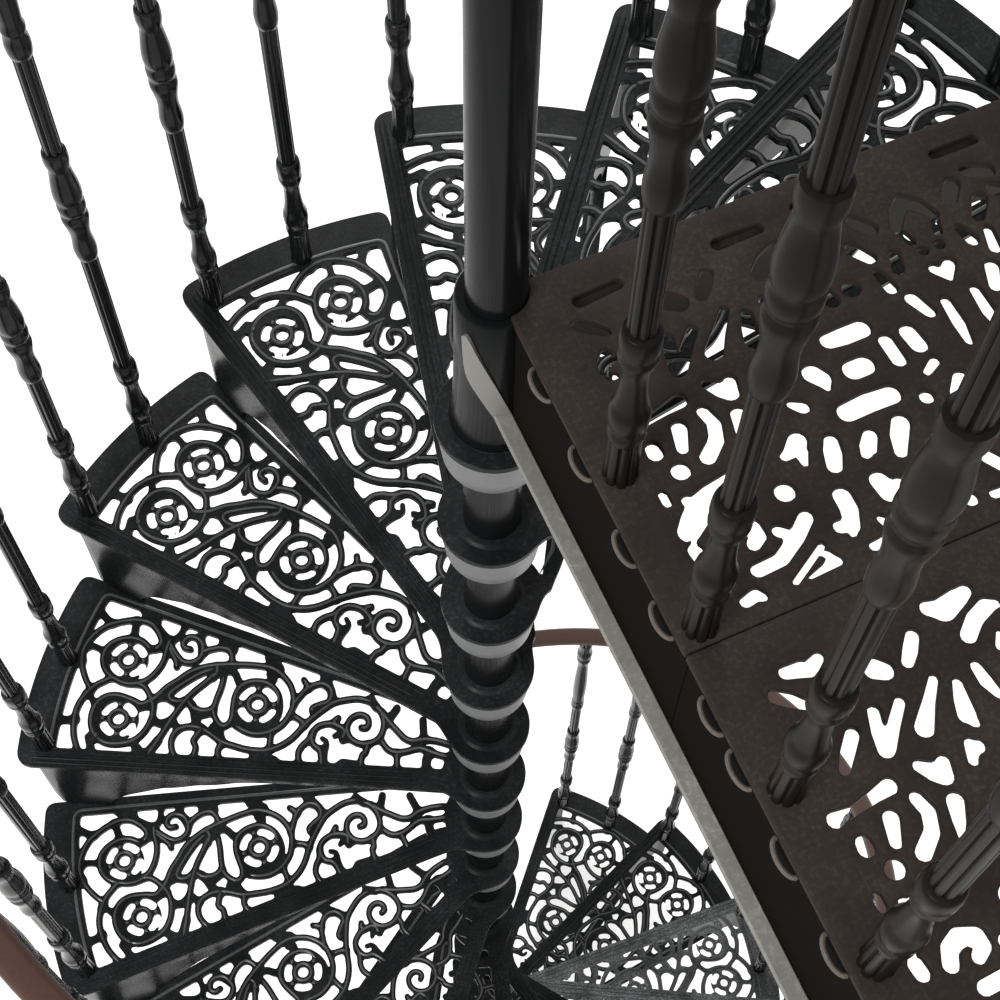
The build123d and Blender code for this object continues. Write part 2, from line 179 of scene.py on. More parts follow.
# Scrolls with a raised line, each as points that its curve passes through: along the nosing from the
# pole's axis, and back from the nosing line.
scrolls = {
    "great_wave": ((319, -43), (307, -37), (294, -34), (277, -37), (261, -48), (252, -64), (249, -79),
        (254, -98), (265, -112), (280, -122), (300, -125), (323, -125), (348, -123), (367, -119),
        (385, -111), (398, -100), (412, -89), (423, -76), (432, -69), (442, -65), (454, -70), (473, -75),
        (488, -72), (498, -62), (502, -47), (500, -31), (492, -18), (494, -24)),
    "high_wave": ((152, -85), (167, -88), (182, -86), (198, -81), (210, -72), (222, -61), (233, -49),
        (241, -38), (250, -28), (263, -19), (280, -13), (300, -13), (319, -17), (336, -22), (350, -31),
        (361, -37)),
    "first_shell": ((492, -18), (481, -12), (465, -11), (446, -16), (433, -29), (426, -47), (426, -62),
        (431, -75), (440, -88), (452, -93)),
    "rim_wave": ((415, -154), (418, -141), (420, -125), (427, -110), (439, -97), (456, -91), (471, -93),
        (482, -98), (492, -93), (504, -85), (514, -73), (521, -58), (523, -41), (521, -20), (513, 1)),
    "second_shell": ((507, -80), (517, -96), (524, -116), (523, -137), (513, -155), (498, -168),
        (479, -175), (460, -178), (443, -174), (432, -163), (426, -150), (429, -143), (433, -140)),
    "second_ring": ((482, -98), (493, -108), (498, -123), (494, -139), (482, -149), (465, -153),
        (450, -149), (439, -139)),
    "third_ring": ((269, -73), (269, -85), (276, -96), (288, -103), (305, -103), (318, -96), (324, -83),
        (325, -68), (325, -54), (328, -46), (334, -42), (341, -45), (347, -54), (350, -63)),
    "long_stem": ((425, 1), (415, -18), (402, -45), (390, -67), (377, -85), (362, -100), (352, -112)),
    "stem_foot": ((352, -121), (350, -114), (355, -105)),
    "first_leaf": ((341, -107), (343, -93), (347, -77), (350, -65), (358, -61), (367, -61), (377, -65),
        (383, -73)),
    "second_leaf": ((355, -117), (371, -110), (387, -99), (400, -88), (407, -80), (405, -73), (396, -71),
        (388, -73)),
    "bud_left": ((368, 1), (366, -12), (370, -20), (367, -27), (361, -37)),
    "bud_right": ((392, 1), (397, -12), (397, -23), (392, -33), (383, -38), (371, -39), (361, -37)),
    "bud_spur": ((336, 1), (338, -10), (335, -18), (336, -24)),
    "outer_curl": ((388, -142), (396, -144), (398, -151), (392, -158), (383, -158), (374, -151),
        (372, -141), (375, -130), (385, -124), (396, -125), (406, -135), (416, -149)),
    "outer_curl_stalk": ((333, -126), (334, -136), (339, -144), (351, -146), (363, -143), (372, -139)),
    "outer_curl_tail": ((403, -117), (404, -124), (410, -134), (415, -143)),
    "inner_curl": ((161, -50), (155, -50), (152, -56), (155, -64), (165, -67), (175, -61), (179, -49),
        (175, -37), (165, -30), (152, -29), (140, -35), (134, -45), (133, -58), (137, -71), (145, -79)),
    "cup": ((184, -34), (181, -43), (187, -49), (200, -53), (213, -50), (220, -43), (222, -33),
        (219, -24), (211, -18), (208, -8), (207, 1)),
    "cup_drop": ((194, -52), (195, -57), (191, -61)),
    "cup_hook": ((235, 1), (237, -12), (233, -22), (225, -31), (222, -39)),
    "low_curl": ((225, -68), (224, -73), (214, -78), (205, -82), (202, -91), (205, -100), (214, -105),
        (225, -103), (235, -96), (243, -85), (249, -77)),
    "low_curl_spur": ((232, -98), (235, -103), (239, -109)),
    "upper_frond": ((50, -18), (60, -20), (71, -23), (86, -27), (103, -22), (115, -20), (126, -24),
        (135, -35)),
    "lower_frond": ((48, -34), (64, -38), (81, -39), (94, -36), (105, -39), (117, -50), (128, -61),
        (136, -72)),
    "frond_stem": ((112, 1), (113, -10), (114, -20)),
    "curl_stem": ((158, 1), (157, -13), (153, -18), (151, -29)),
    "wave_tie": ((274, -15), (274, -37)),
    "wave_spur": ((233, -49), (238, -55), (247, -60)),
}

# Plain webs that tie the scrolls to each other and to the frame: half width, then points.
webs = (
    (5, ((492, -172), (500, -177), (513, -191))), (5, ((502, -18), (498, -6), (496, 1))),
    (4, ((502, -64), (508, -73), (513, -75))), (5, ((521, -41), (531, -39), (546, -39))),
    (6, ((525, -120), (537, -118))), (5, ((462, -153), (462, -177))),
    (4, ((439, -139), (425, -141), (418, -145))), (4, ((498, -133), (512, -139), (521, -137))),
    (4, ((426, -64), (442, -60))), (4, ((415, -150), (404, -160), (399, -172))),
    (4, ((415, -152), (427, -164), (435, -173))), (6, ((436, -178), (452, -190))),
    (5, ((372, -139), (376, -154), (375, -168))), (5, ((322, -102), (327, -112), (336, -118))),
    (4, ((350, -63), (358, -56), (365, -54), (371, -50))),
    (5, ((365, -37), (369, -45), (372, -52), (377, -68))), (4, ((392, -34), (396, -43))),
    (5, ((396, -68), (408, -75), (419, -75))), (5, ((402, -45), (415, -41), (423, -45))),
    (5, ((415, -18), (427, -2), (433, 1))), (6, ((433, 1), (441, -8))),
    (4, ((348, -41), (338, -35), (335, -25))), (6, ((350, -114), (334, -120))),
    (6, ((74, 1), (76, -10), (73, -24))), (3, ((184, -45), (194, -37))), (3, ((178, -33), (183, -31))),
    (5, ((278, -108), (283, -114))), (3, ((209, -33), (203, -29), (204, -23), (209, -20))),
    (3, ((201, 1), (203, -8), (203, -23))), (5, ((200, -86), (203, -95), (209, -108))),
    (6, ((209, -105), (213, -114))), (7, ((272, -122), (285, -136))), (7, ((334, -146), (346, -154))),
    (8, ((268, 1), (290, -5))), (8, ((168, 1), (180, 0))), (5, ((145, -79), (152, -90))),
    (5, ((128, -61), (118, -78))), (5, ((81, -39), (84, -64))),
)
# Rosettes: where the middle is, how far the disc's centre lies from it, the disc's radius, and the
# radius that its four kidney-shaped petals and four pellets are set on.
rosettes = (
    ((467.5, -43.7), (3.0, 0.0), 28.5, 19.6),
    ((465.4, -123.3), (3.0, 0.0), 28.5, 19.8),
    ((294.8, -73.1), (-1.0, 4.0), 32.0, 21.2),
)
scroll_half_width = 4.2
hollow_radius = 4.5
rosette_eye = 7.3
rosette_ring = 11.5
petal_half_width = 5.2
petal_half_angle = radians(20)


def smooth_curve(points, count=5):
    """A curve through the points, Catmull-Rom: each span is a cubic whose end slopes are half the chord
    between the neighbours on either side."""
    p = np.asarray(points, float)
    if len(p) == 2:
        return p[0] + np.linspace(0, 1, count + 1)[:, None] * (p[1] - p[0])
    q = np.vstack([2 * p[:1] - p[1:2], p, 2 * p[-1:] - p[-2:-1]])
    a, b, c, d = (q[k:len(q) - 3 + k, None, :] for k in range(4))
    t = np.linspace(0, 1, count, endpoint=False)[None, :, None]
    spans = b + 0.5 * t * (c - a + t * (2 * a - 5 * b + 4 * c - d + t * (3 * (b - c) + d - a)))
    return np.vstack([spans.reshape(-1, p.shape[1]), p[-1:]])


def chain_distance(points, chain):
    """Signed distance to discs that run into each other, each given by its place and radius: the least
    over the straight spans of the distance to the span's nearest point, less a radius that changes
    evenly from one disc to the next."""
    nearest = np.full(len(points), 1e9)
    for (ax, ay, ar), (bx, by, br) in zip(chain[:-1], chain[1:]):
        run = np.array([bx - ax, by - ay])
        away = points - (ax, ay)
        along = np.clip(away @ run / max(run @ run, 1e-9), 0, 1)
        nearest = np.minimum(nearest, np.hypot(*(away - along[:, None] * run).T) - ar - along * (br - ar))
    return nearest


def band(curve, half_width):
    """The discs of one radius along a smooth curve, which together make a band."""
    curve = smooth_curve(curve)
    return np.column_stack([curve, np.full(len(curve), half_width)])


def blend_union(a, b, radius):
    """Lesser of two distances, rounded where they are nearly equal, which fills the corner with a hollow."""
    share = np.clip(0.5 + 0.5 * (b - a) / radius, 0, 1)
    return b + (a - b) * share - radius * share * (1 - share)


def tread_field(points):
    """Signed distance in plan, below zero in the iron: the frame, joined smoothly with a band along each
    scroll and web and with the rosette discs, less eyes, petals and bore, cut to the wedge's outline."""
    x, y = points.T
    radius = np.hypot(x, y)
    iron = blend_union(field_front - y, field_outer_radius - radius, hollow_radius)
    iron = blend_union(iron, y + back_edge_depth - back_bar_width + back_edge_slope * x, hollow_radius)
    iron = blend_union(iron, radius - hub_radius - hub_ring_width, hollow_radius)
    for scroll in scrolls.values():
        iron = blend_union(iron, chain_distance(points, band(scroll, scroll_half_width)), hollow_radius)
    for half_width, web in webs:
        iron = blend_union(iron, chain_distance(points, band(web, half_width)), hollow_radius)
    for (cx, cy), (sx, sy), disc, _ in rosettes:
        iron = blend_union(iron, np.hypot(x - cx - sx, y - cy - sy) - disc, hollow_radius)
    for (cx, cy), _, _, petal_circle in rosettes:
        around = np.arctan2(y - cy, x - cx)
        for quarter in range(4):
            middle = radians(45 + 90 * quarter)
            turned = (around - middle + pi) % tau - pi
            nearest = middle + np.clip(turned, -petal_half_angle, petal_half_angle)
            petal_x = x - cx - petal_circle * np.cos(nearest)
            petal_y = y - cy - petal_circle * np.sin(nearest)
            iron = np.maximum(iron, petal_half_width - np.hypot(petal_x, petal_y))
        iron = np.maximum(iron, rosette_eye - np.hypot(x - cx, y - cy))
    behind = (y + back_edge_depth + back_edge_slope * x) / hypot(1, back_edge_slope)
    beside = hub_cut_place + hub_cut_direction[0] * x + hub_cut_direction[1] * y
    outline = -blend_union(nosing_front - y, stair_radius - radius, front_corner)
    outline = -blend_union(-outline, behind, back_corner)
    outline = -blend_union(-outline, beside, hub_cut_corner)
    outline = np.maximum(outline, -x)
    outline = blend_union(outline, radius - hub_radius, hub_hollow)
    return np.maximum(np.maximum(iron, outline), pole_bore - radius)


def zero_line(field, xs, ys):
    """Where a field on a grid changes sign: a point on each grid edge that it crosses, in proportion to
    the values at its ends, and a straight piece across each cell between two such points."""
    inside = field < 0
    across = np.full(field.shape, -1)
    upward = np.full(field.shape, -1)
    j, i = np.nonzero(inside[:, :-1] != inside[:, 1:])
    across[j, i] = np.arange(len(j))
    share = field[j, i] / (field[j, i] - field[j, i + 1])
    points = [np.column_stack([xs[i] + share * (xs[i + 1] - xs[i]), ys[j]])]
    j, i = np.nonzero(inside[:-1] != inside[1:])
    upward[j, i] = len(points[0]) + np.arange(len(j))
    share = field[j, i] / (field[j, i] - field[j + 1, i])
    points.append(np.column_stack([xs[i], ys[j] + share * (ys[j + 1] - ys[j])]))
    low, high = across[:-1, :-1], across[1:, :-1]
    left, right = upward[:-1, :-1], upward[:-1, 1:]
    edges = np.stack([low, right, high, left], axis=-1)
    crossed = edges >= 0
    two = crossed.sum(-1) == 2
    joins = [np.sort(np.where(crossed[two], edges[two], 10**9), axis=-1)[:, :2]]
    four = crossed.sum(-1) == 4
    middle = (field[:-1, :-1] + field[1:, :-1] + field[:-1, 1:] + field[1:, 1:])[four] < 0
    pairs = edges[four]
    same = middle == inside[:-1, :-1][four]
    joins.append(np.where(same[:, None], pairs[:, [0, 1]], pairs[:, [0, 3]]))
    joins.append(np.where(same[:, None], pairs[:, [2, 3]], pairs[:, [1, 2]]))
    return np.vstack(points), np.vstack(joins)


def grid_faces(rows, columns, wrap_rows=False, wrap_columns=False, first=0):
    """Four-sided faces between neighbouring points of a grid numbered row by row."""
    i = np.arange(rows if wrap_rows else rows - 1)[:, None]
    j = np.arange(columns if wrap_columns else columns - 1)[None, :]
    ii, jj = (i + 1) % rows, (j + 1) % columns
    corners = np.stack([i * columns + j, i * columns + jj, ii * columns + jj, ii * columns + j], axis=-1)
    return first + corners.reshape(-1, 4)


class Shape:
    """Points and faces of one piece, gathered from several computed surfaces, each with its coat of paint."""

    def __init__(self):
        self.points, self.faces, self.coats, self.count = [], [], [], 0

    def add(self, points, faces, coat=0):
        """Points, and arrays of faces that number those points from nought."""
        points = np.asarray(points, float).reshape(-1, 3)
        self.points.append(points)
        self.faces += [(np.asarray(part) + self.count) for part in faces]
        self.coats += [np.full(len(part), coat, np.int32) for part in faces]
        self.count += len(points)

    def add_grid(self, points, wrap_rows=False, wrap_columns=False, coat=0):
        """Rows and columns of points, with a face between every four neighbours."""
        rows, columns = points.shape[:2]
        self.add(points, [grid_faces(rows, columns, wrap_rows, wrap_columns)], coat)

    def placed(self, turn=0.0, place=(0, 0, 0)):
        """All points, turned about the Z axis, moved and brought from millimetres to metres."""
        p = np.vstack(self.points)
        turned_x = p[:, 0] * cos(turn) - p[:, 1] * sin(turn)
        turned_y = p[:, 0] * sin(turn) + p[:, 1] * cos(turn)
        return (np.column_stack([turned_x, turned_y, p[:, 2]]) + place) * MM


def inside_lines(places, points, joins):
    """Which places lie inside closed lines: those from which a ray along X crosses an odd number of the
    straight pieces. The pieces are sorted into bands of Y, so that each place meets only a few."""
    places_in_band = 60
    order = np.argsort(places[:, 1])
    low, high = points[joins[:, 0]], points[joins[:, 1]]
    odd = np.zeros(len(places), bool)
    for group in np.array_split(order, max(1, len(places) // places_in_band)):
        x, y = places[group].T
        above = np.maximum(low[:, 1], high[:, 1]) >= y.min()
        near = above & (np.minimum(low[:, 1], high[:, 1]) <= y.max())
        (ax, ay), (bx, by) = low[near].T, high[near].T
        spans = (ay[None] > y[:, None]) != (by[None] > y[:, None])
        with np.errstate(divide="ignore", invalid="ignore"):
            meets = ax[None] + (y[:, None] - ay[None]) * (bx - ax)[None] / (by - ay)[None]
        odd[group] = (spans & (meets > x[:, None])).sum(axis=1) % 2 == 1
    return odd


def cast_plate(field_of, xs, ys):
    """The plan of a flat casting: the zero line of a field, the field's outward slope along it, and
    triangles that fill it, which leave out what lies inside an odd number of lines."""
    gx, gy = np.meshgrid(xs, ys)
    field = field_of(np.column_stack([gx.ravel(), gy.ravel()])).reshape(gx.shape)
    points, joins = zero_line(field, xs, ys)
    slope_y, slope_x = np.gradient(field, ys, xs)
    column = np.clip(((points[:, 0] - xs[0]) / (xs[1] - xs[0])).astype(int), 0, len(xs) - 2)
    row = np.clip(((points[:, 1] - ys[0]) / (ys[1] - ys[0])).astype(int), 0, len(ys) - 2)
    outward = np.column_stack([
        slope_x[row, column] + slope_x[row + 1, column + 1],
        slope_y[row, column] + slope_y[row + 1, column + 1],
    ])
    outward /= np.maximum(np.hypot(*outward.T), 1e-9)[:, None]
    all_triangles, tolerance = 0, 1e-7
    filled = delaunay_2d_cdt([Vector(p) for p in points], joins.tolist(), [], all_triangles, tolerance)
    source = np.array([ids[0] for ids in filled[3]])
    triangles = source[np.array([list(face) for face in filled[2]])]
    triangles = triangles[inside_lines(points[triangles].mean(axis=1), points, joins)]
    return points, joins, outward, triangles


def plate_walls(points, joins, outward, levels):
    """Rings of points under each other round the plan, each drawn in along the outward slope by its
    own inset, and walls between them that face outwards."""
    start, end = points[joins[:, 0]], points[joins[:, 1]]
    run = end - start
    turned = outward[joins[:, 0]][:, 0] * run[:, 1] - outward[joins[:, 0]][:, 1] * run[:, 0] < 0
    joins = np.where(turned[:, None], joins[:, ::-1], joins)
    rings = []
    for height, inset in levels:
        rings.append(np.column_stack([points - outward * inset, np.full(len(points), height)]))
    walls = []
    for level in range(len(levels) - 1):
        upper, lower = joins + level * len(points), joins + (level + 1) * len(points)
        walls.append(np.column_stack([lower[:, 0], lower[:, 1], upper[:, 1], upper[:, 0]]))
    return np.vstack(rings), np.vstack(walls)


def round_corners(points, radii, step=12):
    """A chain of straight runs with each inner corner replaced by an arc that touches both runs: the arc
    starts at the radius divided by the tangent of half the opening from the corner. Its points are a
    step in degrees apart."""
    nearly_straight = 0.01
    p = np.asarray(points, float)
    path = [p[:1]]
    for corner, before, after, radius in zip(p[1:-1], p[:-2], p[2:], radii):
        back, on = before - corner, after - corner
        back, on = back / hypot(*back), on / hypot(*on)
        opening = np.arccos(np.clip(back @ on, -1, 1))
        if radius <= 0 or pi - opening < nearly_straight:
            path.append(corner[None])
            continue
        middle = corner + (back + on) / hypot(*(back + on)) * radius / sin(opening / 2)
        first = corner + back * radius / np.tan(opening / 2) - middle
        last = corner + on * radius / np.tan(opening / 2) - middle
        turn = np.arctan2(first[0] * last[1] - first[1] * last[0], first @ last)
        count = max(3, int(abs(np.degrees(turn)) / step) + 1)
        angles = np.arctan2(first[1], first[0]) + np.linspace(0, turn, count)
        path.append(middle + radius * np.column_stack([np.cos(angles), np.sin(angles)]))
    return np.vstack(path + [p[-1:]])


def rim_points(radius, first, last, step=2.5):
    """Points of an arc about the pole's axis, from one azimuth to another, in degrees."""
    azimuths = np.radians(np.linspace(first, last, int(abs(last - first) / step) + 2))
    return radius * np.column_stack([np.cos(azimuths), np.sin(azimuths)])


def revolved(profile, azimuths, flute=None):
    """A profile of radius and height turned about the Z axis; a flute multiplies the radius by a function
    of azimuth."""
    profile = np.asarray(profile, float)
    azimuths = np.asarray(azimuths)[None, :]
    radius = np.repeat(profile[:, :1], azimuths.shape[1], axis=1)
    if flute is not None:
        radius = radius * flute(azimuths)
    height = np.repeat(profile[:, 1:2], azimuths.shape[1], axis=1)
    return np.stack([radius * np.cos(azimuths), radius * np.sin(azimuths), height], axis=-1)


def full_turn(sides):
    """Azimuths of a whole turn, seen from above against the clock."""
    return np.linspace(0, tau, sides, endpoint=False)


def add_round(shape, profile, sides, place=(0, 0, 0)):
    """A profile of radius and height turned once round an upright line through a place."""
    shape.add_grid(revolved(profile, full_turn(sides)) + np.asarray(place, float), wrap_columns=True)


line_half_width = 1.7
line_height = 1.5
# The section of a bead: angles of its points about the middle of its foot, the first and last of them
# sunk in the face. Its ends are drawn in over this many half widths, down to this share of its size.
bead_section = np.radians([-20, 38, 90, 142, 200])
bead_end = 1.6
bead_tip = 0.02


def add_bead(shape, curve, half_width=line_half_width, height=line_height, closed=False, coat=1):
    """A half-round bead that stands on a flat face along a curve in plan, its ends drawn in to a point by
    a quarter circle."""
    curve = np.asarray(curve, float)
    if closed:
        run = np.roll(curve, -1, axis=0) - np.roll(curve, 1, axis=0)
        size = np.ones(len(curve))
    else:
        run = np.gradient(curve, axis=0)
        length = np.concatenate([[0], np.cumsum(np.hypot(*np.diff(curve, axis=0).T))])
        end = np.clip(np.minimum(length, length[-1] - length) / (bead_end * half_width), 0, 1)
        size = np.sqrt(np.maximum(1 - (1 - end) ** 2, bead_tip ** 2))
    run /= np.maximum(np.hypot(*run.T), 1e-9)[:, None]
    side = np.column_stack([run[:, 1], -run[:, 0]])
    across = np.cos(bead_section) * half_width / np.cos(bead_section[0])
    points = np.empty((len(curve), len(bead_section), 3))
    points[..., :2] = curve[:, None] + side[:, None] * across[None, :, None] * size[:, None, None]
    points[..., 2] = np.sin(bead_section) * height * size[:, None]
    shape.add_grid(points, wrap_rows=closed, wrap_columns=True, coat=coat)


pellet_radius = 2.6
pellet_height = 1.8
pellet_sides = 10
pellet_rings = np.radians([-12, 25, 58])


def add_pellet(shape, x, y):
    """A low round pellet on a flat face: rings at three angles of a flattened half sphere."""
    profile = np.column_stack([np.cos(pellet_rings) * pellet_radius, np.sin(pellet_rings) * pellet_height])
    rings = revolved(profile, full_turn(pellet_sides)) + (x, y, 0)
    sides = np.arange(pellet_sides)
    last = (len(profile) - 1) * pellet_sides
    top = np.full(pellet_sides, last + pellet_sides)
    shape.add(np.vstack([rings.reshape(-1, 3), [(x, y, pellet_height)]]), [
        grid_faces(len(profile), pellet_sides, wrap_columns=True),
        np.column_stack([last + sides, last + (sides + 1) % pellet_sides, top]),
    ], coat=1)


plate_step = 2.5
plate_points, plate_joins, plate_outward, plate_triangles = cast_plate(
    tread_field, np.arange(-56, 596, plate_step), np.arange(-250, 60, plate_step))
tread_shape = Shape()
arris = 0.8
walls_points, walls = plate_walls(plate_points, plate_joins, plate_outward,
                                  ((0, arris), (-arris, 0), (-plate_thickness, 0)))
bottom = plate_triangles[:, ::-1] + 2 * len(plate_points)
tread_shape.add(walls_points, [walls, plate_triangles, bottom])

# Raised lines: along every scroll, round the frame, three along the nosing, and a ring and four pellets
# on each rosette. The nosing's lines are given by depth, half width, and where they start and end.
frame_line_half_width = 2.3
frame_line_height = 1.8
nosing_lines = ((5.0, 2.2, 72, 582), (13.0, 1.5, 84, 577), (19.0, 1.5, 92, 571))
nosing_line_height = 1.6
ring_half_width = 2.0
ring_height = 1.6
for scroll in scrolls.values():
    add_bead(tread_shape, smooth_curve(scroll, 3))
frame_line = np.vstack([[(11, -49), (38, -70.1), (505.5, -212.7)], rim_points(rim_line_radius, -20.2, 0.5)])
frame_line = round_corners(frame_line, [14, 11] + [0] * (len(frame_line) - 4))
add_bead(tread_shape, frame_line, frame_line_half_width, frame_line_height)
for depth, half_width, first, last in nosing_lines:
    line = np.column_stack([np.linspace(first, last, 40), np.full(40, depth)])
    add_bead(tread_shape, line, half_width, nosing_line_height, coat=0)
for (cx, cy), _, _, petal_circle in rosettes:
    around = full_turn(20)
    ring = np.column_stack([cx + rosette_ring * np.cos(around), cy + rosette_ring * np.sin(around)])
    add_bead(tread_shape, ring, ring_half_width, ring_height, closed=True)
    for quarter in np.radians([0, 90, 180, 270]):
        add_pellet(tread_shape, cx + petal_circle * cos(quarter), cy + petal_circle * sin(quarter))

# The edge: a round roll along the plate's front and rim, thicker than the plate.
edge_roll = 5.2
edge_roll_below = 0.6
edge = np.vstack([[(62, nosing_front), (stair_radius, nosing_front)], rim_points(stair_radius, -3, -21),
                  [(538.1, -237.1), (515, -230.1)]])
edge = round_corners(edge, [20] + [0] * (len(edge) - 4) + [14])
run = np.gradient(edge, axis=0)
run /= np.hypot(*run.T)[:, None]
inward = np.column_stack([run[:, 1], -run[:, 0]])
roll = full_turn(8) + radians(22.5)
across = (1 + np.cos(roll)) * edge_roll
roll_points = np.empty((len(edge), len(roll), 3))
roll_points[..., :2] = edge[:, None] + inward[:, None] * across[None, :, None]
roll_points[..., 2] = (np.sin(roll) - 1) * edge_roll - edge_roll_below
tread_shape.add_grid(roll_points, wrap_columns=True)

# The hub: a low boss on top where the next sleeve stands. Its side is a piece of its own below.
hub_depth = 60.0
boss = ((35.5, -0.3), (33.5, 0.5), (32.0, 2.2), (30.0, 3.0), (pole_bore, 3.0))
add_round(tread_shape, boss, 40)

# The apron: a thin curtain that hangs under the nosing, shallow by the hub and deeper outwards, and
# comes down to the tread below near the rim, where it turns back. Its foot is given by places along the
# nosing and depths.
apron_foot = np.array([
    (52, 48), (120, 46), (200, 46), (270, 47), (310, 54), (330, 64), (350, 73), (372, 79), (388, 88),
    (405, 96), (420, 101), (445, 121), (470, 141), (488, 162), (496, 176), (499, 187), (503, 195),
    (540, 195), (578, 195),
], float)
apron_top = 6.0
apron_thickness = 6.0
apron_front = 21.0
# The curtain leans in over the first part of its depth, and turns back near the rim.
apron_lean = 6.0
apron_lean_depth = 60.0
apron_lean_power = 0.7
apron_turn_start = 556.0
apron_turn_length = 22.0
apron_turn_back = 14.0
stations = smooth_curve(apron_foot, 3)
stations[:, 1] = np.minimum(stations[:, 1], riser)
share = np.linspace(0, 1, 13)
along = stations[:, :1] + 0 * share
drop = apron_top + (stations[:, 1:] - apron_top) * share
front = apron_front - apron_lean * np.clip(drop / apron_lean_depth, 0, 1) ** apron_lean_power
turned = np.clip((along - apron_turn_start) / apron_turn_length, 0, 1)
front_face = np.stack([along, front - apron_turn_back * turned ** 2, -drop], axis=-1)
back_face = front_face - (0, apron_thickness, 0)
loop = np.concatenate([front_face, back_face[:, ::-1]], axis=1)
tread_shape.add_grid(loop[::-1], wrap_columns=True)
ring = np.arange(loop.shape[1])
tread_shape.add(loop[0], [ring[None, ::-1]])
tread_shape.add(loop[-1], [ring[None]])


def painted_iron(name, colour, dust_colour, dust, gloss, grain, ior):
    """Painted cast iron: a dark gloss coat over the sand grain of the casting, with grey dust. The share
    of dust is its amount times how far a face looks up, times a noise of patches and one of flecks. The
    gloss is the coat's roughness, the grain how deep the bumps look, and ior how strongly it mirrors."""
    material, node = node_material(name)
    place = node("ShaderNodeTexCoord").outputs["Object"]
    upright = node("ShaderNodeSeparateXYZ", node("ShaderNodeNewGeometry").outputs["Normal"]).outputs["Z"]

    def noise(scale, detail, roughness):
        """A noise in the place of each point: waves per metre, octaves, and how strong the finer ones are."""
        texture = node("ShaderNodeTexNoise", Vector=place, Scale=scale, Detail=detail, Roughness=roughness)
        return texture.outputs[0]

    def ranged(value, low, high, new_low, new_high):
        """A value brought evenly from one range into another, and kept inside it."""
        limits = {"From Min": low, "From Max": high, "To Min": new_low, "To Max": new_high}
        return node("ShaderNodeMapRange", Value=value, **limits).outputs[0]

    # Each range is what the value comes in, then what it is brought into.
    patches = ranged(noise(14.0, 6.0, 0.62), 0.38, 0.66, 0.25, 1.0)
    flecks = ranged(noise(260.0, 3.0, 0.6), 0.48, 0.72, 0.55, 1.6)
    upward = ranged(upright, 0.2, 0.98, 0.12, 1.0)
    cover = node("ShaderNodeMath", upward, patches, operation="MULTIPLY").outputs[0]
    flecked = node("ShaderNodeMath", cover, flecks, operation="MULTIPLY").outputs[0]
    amount = node("ShaderNodeMath", flecked, operation="MULTIPLY", use_clamp=True)
    amount.inputs[1].default_value = dust
    blend = node("ShaderNodeMix", data_type="RGBA", Factor=amount.outputs[0],
                 A=(*colour, 1), B=(*dust_colour, 1))
    sag = noise(70.0, 2.0, 0.5)
    grain_sum = node("ShaderNodeMath", noise(900.0, 2.0, 0.5), operation="MULTIPLY_ADD")
    grain_share = 0.35
    grain_sum.inputs[1].default_value = grain_share
    grain_sum.id_data.links.new(sag, grain_sum.inputs[2])
    bump = node("ShaderNodeBump", Strength=grain, Distance=0.0006, Height=grain_sum.outputs[0])
    shader = node("ShaderNodeBsdfPrincipled", IOR=ior, Normal=bump.outputs[0],
                  Roughness=ranged(amount.outputs[0], 0.0, 0.6, gloss, 0.75),
                  **{"Base Color": blend.outputs["Result"]})
    node("ShaderNodeOutputMaterial", shader.outputs[0])
    return material


# Two of the lower treads are much paler on top, which is painted light where more light falls on them.
# On all of them the raised lines are paler, which is a painted highlight.
tread_iron = painted_iron("tread_iron", (0.006, 0.0065, 0.007), (0.11, 0.113, 0.116),
                          dust=0.2, gloss=0.26, grain=0.35, ior=1.15)
dust_and_painted_light_iron = painted_iron("dust_and_painted_light_iron", (0.008, 0.0085, 0.009), (0.36, 0.37, 0.375),
                          dust=0.75, gloss=0.3, grain=0.35, ior=1.15)
# Paler paint on the raised lines, the rosette rings and the pellets: a painted highlight.
line_highlight_paint = painted_iron("line_highlight_paint", (0.04, 0.041, 0.041), (0.15, 0.155, 0.16),
                            dust=0.35, gloss=0.2, grain=0.25, ior=1.5)
painted_light_levels = (3, 4)


def add_piece(name, shape, coats, turn=0.0, place=(0, 0, 0), stands_for=()):
    """A mesh object from a shape and its coats of paint, shaded smooth up to edges of forty degrees, that
    rides on the stair's one body."""
    mesh = bpy.data.meshes.new(name)
    faces = [face for part in shape.faces for face in part.tolist()]
    mesh.from_pydata(shape.placed(turn, place).tolist(), [], faces)
    for coat in coats:
        mesh.materials.append(coat)
    mesh.polygons.foreach_set("material_index", np.concatenate(shape.coats))
    mesh.shade_smooth()
    mesh.set_sharp_from_angle(angle=radians(40))
    piece = bpy.data.objects.new(name, mesh)
    bpy.context.collection.objects.link(piece)
    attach(piece, "root")
    if stands_for:
        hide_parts(*stands_for)


def level_turn(level):
    """Azimuth of the nosing line of a tread in radians, counted from the landing's stepping edge."""
    return radians((landing_level - level) * step_angle)


for level in range(1, tread_count + 1):
    coats = (dust_and_painted_light_iron if level in painted_light_levels else tread_iron, line_highlight_paint)
    add_piece("tread_casting_%02d" % level, tread_shape, coats, level_turn(level),
              (0, 0, level * riser), ("tread_%02d" % level,))
